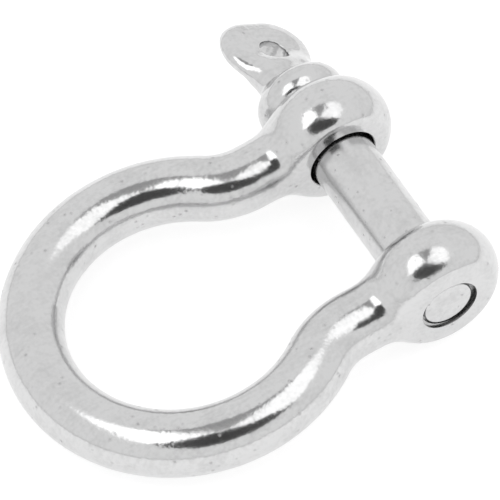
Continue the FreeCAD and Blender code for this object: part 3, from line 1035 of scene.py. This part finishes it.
# %% Camera
AZIMUTH = math.radians(160.2)
ELEVATION = math.radians(55.7)
ROLL = math.radians(-11.48)
AIM = Vector((19.76, -4.17, 0.0)) * MM
DISTANCE = 656.8 * MM
to_camera = Vector(
    (
        math.cos(ELEVATION) * math.sin(AZIMUTH),
        -math.cos(ELEVATION) * math.cos(AZIMUTH),
        math.sin(ELEVATION),
    )
)
lens = bpy.data.cameras.new("camera")
lens.sensor_width = 36.0
lens.lens = 319.0
camera = bpy.data.objects.new("camera", lens)
bpy.context.scene.collection.objects.link(camera)
camera.location = AIM + to_camera * DISTANCE
camera.rotation_mode = "QUATERNION"
camera.rotation_quaternion = to_camera.to_track_quat("Z", "Y") @ Quaternion((0, 0, 1), ROLL)
bpy.context.scene.camera = camera
print("camera at mm", [round(value / MM, 1) for value in camera.location])

# %% [markdown]
# ## Floor
# The shackle lies on white card. The floor touches both eyes and the crown, so it leans a few degrees in
# the shackle's frame. The card is given painted light: it glows though it is no lamp, most of all in a
# painted pool of light round the shackle and less further away, which also makes its shadows paler, so the
# far floor that the polished rims reflect is darker.

# %% Floor
TOUCH_EYE = Vector((0.0, 0.0, BOW_LOW[2]))
TOUCH_CROWN = Vector((CROWN_CENTRE + CROWN_RADIUS, 0.0, -BAR_RADIUS))
ALONG_PIN = Vector((0, 1, 0))
FLOOR_HALF = 3.0
CARD_SHADE = 0.45
CARD_ROUGHNESS = 0.9
CARD_SPECULAR = 0.1
PAPER_GRAIN = {"Scale": 900.0, "Contrast": 0.01}
# Painted light: the floor's glow, brightest in a painted pool round the shackle and fainter far away.
PAINTED_GLOW_NEAR = 0.72
PAINTED_GLOW_FAR = 0.56
PAINTED_GLOW_FADE_START = 0.075
PAINTED_GLOW_FADE_END = 0.40


def add_quad(name, centre, right, up, half_width, half_height):
    """A flat card from its middle, two directions and two half sizes."""
    corners = [(-1, -1), (1, -1), (1, 1), (-1, 1)]
    places = [centre + right * half_width * a + up * half_height * b for a, b in corners]
    card = new_piece(name)
    card.data.from_pydata(places, [], [(0, 1, 2, 3)])
    return card


def floor_with_painted_glow():
    """White card with a faint grain, and painted light: a glow that is no lamp, a painted pool of light that
    fades with the distance from the shackle.
    """
    material = bpy.data.materials.new("white_card")
    material.use_nodes = True
    tree = material.node_tree
    where = add_node(tree, "ShaderNodeTexCoord").outputs["Object"]
    paper = use_group(tree, CLOUDS, where, PAPER_GRAIN) + CARD_SHADE
    shade = add_node(tree, "ShaderNodeCombineColor", {0: paper, 1: paper, 2: paper})
    # Painted pool of light: the glow fades from near the shackle to far away.
    distance = add_node(tree, "ShaderNodeVectorMath", {0: where}, operation="LENGTH")
    painted_glow_fade = ramp(Field(tree, distance.outputs["Value"]), PAINTED_GLOW_FADE_START, PAINTED_GLOW_FADE_END)
    look = {
        "Base Color": shade.outputs[0],
        "Roughness": CARD_ROUGHNESS,
        "Specular IOR Level": CARD_SPECULAR,
        "Emission Color": (1.0, 1.0, 1.0, 1.0),
        "Emission Strength": -(painted_glow_fade * (PAINTED_GLOW_NEAR - PAINTED_GLOW_FAR)) + PAINTED_GLOW_NEAR,
    }
    for name, value in look.items():
        feed(tree, tree.nodes["Principled BSDF"].inputs[name], value)
    return material


lean = (TOUCH_CROWN - TOUCH_EYE).normalized()
floor = add_quad("floor", TOUCH_EYE, lean, ALONG_PIN, FLOOR_HALF, FLOOR_HALF)
floor.data.materials.append(floor_with_painted_glow())
floor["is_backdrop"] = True
print("floor leans", round(math.degrees(math.asin(lean.z)), 2), "degrees")

# %% [markdown]
# ## Light tent and softboxes
# Polished steel shows its surroundings more than itself, so the studio matters as much as the metal. The
# world is an even white, like a tent. One big softbox hangs over the table, split by its own stand, and
# the lens looks in through a dark opening. Each is a flat card that only shines. The camera doesn't see
# them, but the steel does. Their corners are given in degrees to the right of the lens and above it.

# %% Cards in the tent
view_right = camera.rotation_quaternion @ Vector((1, 0, 0))
view_up = camera.rotation_quaternion @ Vector((0, 1, 0))
TENT_RADIUS = 0.6


def seen_at(right_degrees, up_degrees):
    """A direction from the shackle, measured from the lens: so far to the right and so far up."""
    away = math.radians(math.hypot(right_degrees, up_degrees))
    if away == 0.0:
        return to_camera
    sideways = view_right * right_degrees + view_up * up_degrees
    return to_camera * math.cos(away) + sideways.normalized() * math.sin(away)


def glow(name, radiance):
    """A finish that only shines."""
    material = new_material(name)
    tree = material.node_tree
    shine = add_node(tree, "ShaderNodeEmission", {"Strength": radiance})
    add_node(tree, "ShaderNodeOutputMaterial", {"Surface": shine.outputs[0]})
    return material


def stage_card(name, places, faces, radiance):
    """A shining card or ring that the steel reflects and the camera doesn't see."""
    card = new_piece(name)
    card.data.from_pydata(places, [], faces)
    card.data.materials.append(glow(name, radiance))
    card.visible_camera = False
    card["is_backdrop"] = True


def studio_card(name, corners, radiance):
    """A flat card in the tent, from its corners in degrees right of and above the lens."""
    places = [AIM + seen_at(right, up) * TENT_RADIUS for right, up in corners]
    stage_card(name, places, [tuple(range(len(places)))], radiance)


SOFTBOX_LEFT = [(-37, 33), (-22, 43), (-10, 29), (-2, 15), (-12, 8), (-20, -2), (-28, -4), (-33, 14)]
SOFTBOX_RIGHT = [(4, 50), (20, 49), (32, 39), (39, 22), (38, 5), (20, 9), (2, 14), (4, 30)]
LAMP_STAND = [(-21, 43), (4, 50), (4, 30), (2, 15), (-2, 15), (-10, 29)]
OPENING_TOP = [(-20, -3), (-12, 7), (-2, 14), (20, 8), (38, 2)]
OPENING_BOTTOM = [(30, -12), (15, -20), (0, -22), (-14, -15)]
studio_card("softbox_left", SOFTBOX_LEFT, radiance=1.9)
studio_card("softbox_right", SOFTBOX_RIGHT, radiance=1.55)
studio_card("lamp_stand", LAMP_STAND, radiance=0.38)
studio_card("lens_opening", OPENING_TOP + OPENING_BOTTOM, radiance=0.07)
print("cards hang", round(TENT_RADIUS / MM), "mm from the shackle")

# %% [markdown]
# Where the table's edge meets the tent there is a thin grey line. In a polished rim it shows as the line
# between floor and tent, so a low grey ring stands round the floor. Then the world gets its even white.

# %% Seam and tent
SEAM_HEIGHT = 0.12
SEAM_STEPS = 48
SEAM_GLOW = 0.6
TENT_GLOW = 0.97


def add_seam():
    """The thin grey line where the table's edge meets the tent, as a low ring round the floor."""
    table_up = lean.cross(ALONG_PIN)
    places = []
    for step in range(SEAM_STEPS):
        turn = 2 * math.pi * step / SEAM_STEPS
        foot = TOUCH_EYE + (lean * math.cos(turn) + ALONG_PIN * math.sin(turn)) * FLOOR_HALF
        places += [foot, foot + table_up * SEAM_HEIGHT]
    count = len(places)
    faces = [(a, (a + 2) % count, (a + 3) % count, a + 1) for a in range(0, count, 2)]
    stage_card("table_seam", places, faces, SEAM_GLOW)


add_seam()
world = bpy.data.worlds.new("white_tent")
bpy.context.scene.world = world
world.use_nodes = True
world.node_tree.nodes["Background"].inputs["Color"].default_value = (1.0, 1.0, 1.0, 1.0)
world.node_tree.nodes["Background"].inputs["Strength"].default_value = TENT_GLOW
bpy.context.scene.view_settings.view_transform = "Standard"
print("seam of", SEAM_STEPS, "steps, tent at", TENT_GLOW)

# %% [markdown]
# ## Sizes
# The visual pieces are meant to keep the engineering model's size, and both boxes are printed side by side.

visual_box = [list(corner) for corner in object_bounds()]
for label, box in (("cad", cad_box), ("visual", visual_box)):
    print(label, [[round(value / MM, 2) for value in corner] for corner in box])
